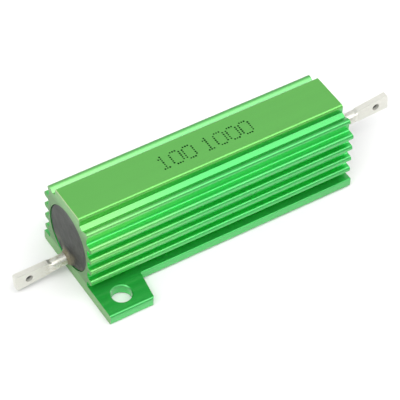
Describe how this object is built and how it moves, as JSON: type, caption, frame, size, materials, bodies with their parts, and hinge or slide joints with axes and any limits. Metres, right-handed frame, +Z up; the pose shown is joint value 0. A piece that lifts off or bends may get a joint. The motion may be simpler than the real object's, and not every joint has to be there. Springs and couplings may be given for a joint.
{
  "type": "aluminium housed resistor",
  "caption": "Finned aluminium housed wirewound power resistor with two diagonal mounting ears and a solder lug at each end.",
  "frame": {"origin": "centre of the housing's base, on the plane that it is mounted on", "axes": "+X along the housing from the left terminal to the right one, +Z up out of the base, -Y the side of the left ear"},
  "size_m": [0.0723, 0.0272, 0.0158],
  "materials": {
    "anodised_aluminium": "satin green anodised extrusion with lengthwise die lines and sawn ends",
    "compound": "matt dark grey potting compound",
    "ceramic": "unglazed",
    "resistance_wire": "drawn wire",
    "cap_steel": "plated sheet steel",
    "tinned": "satin tin plate"
  },
  "bodies": {
    "root": {"housing": "anodised_aluminium", "moulding": "compound", "core": "ceramic", "winding": "resistance_wire", "end_cap_left": "cap_steel", "end_cap_right": "cap_steel", "terminal_left": "tinned", "terminal_right": "tinned"}
  },
  "joints": []
}
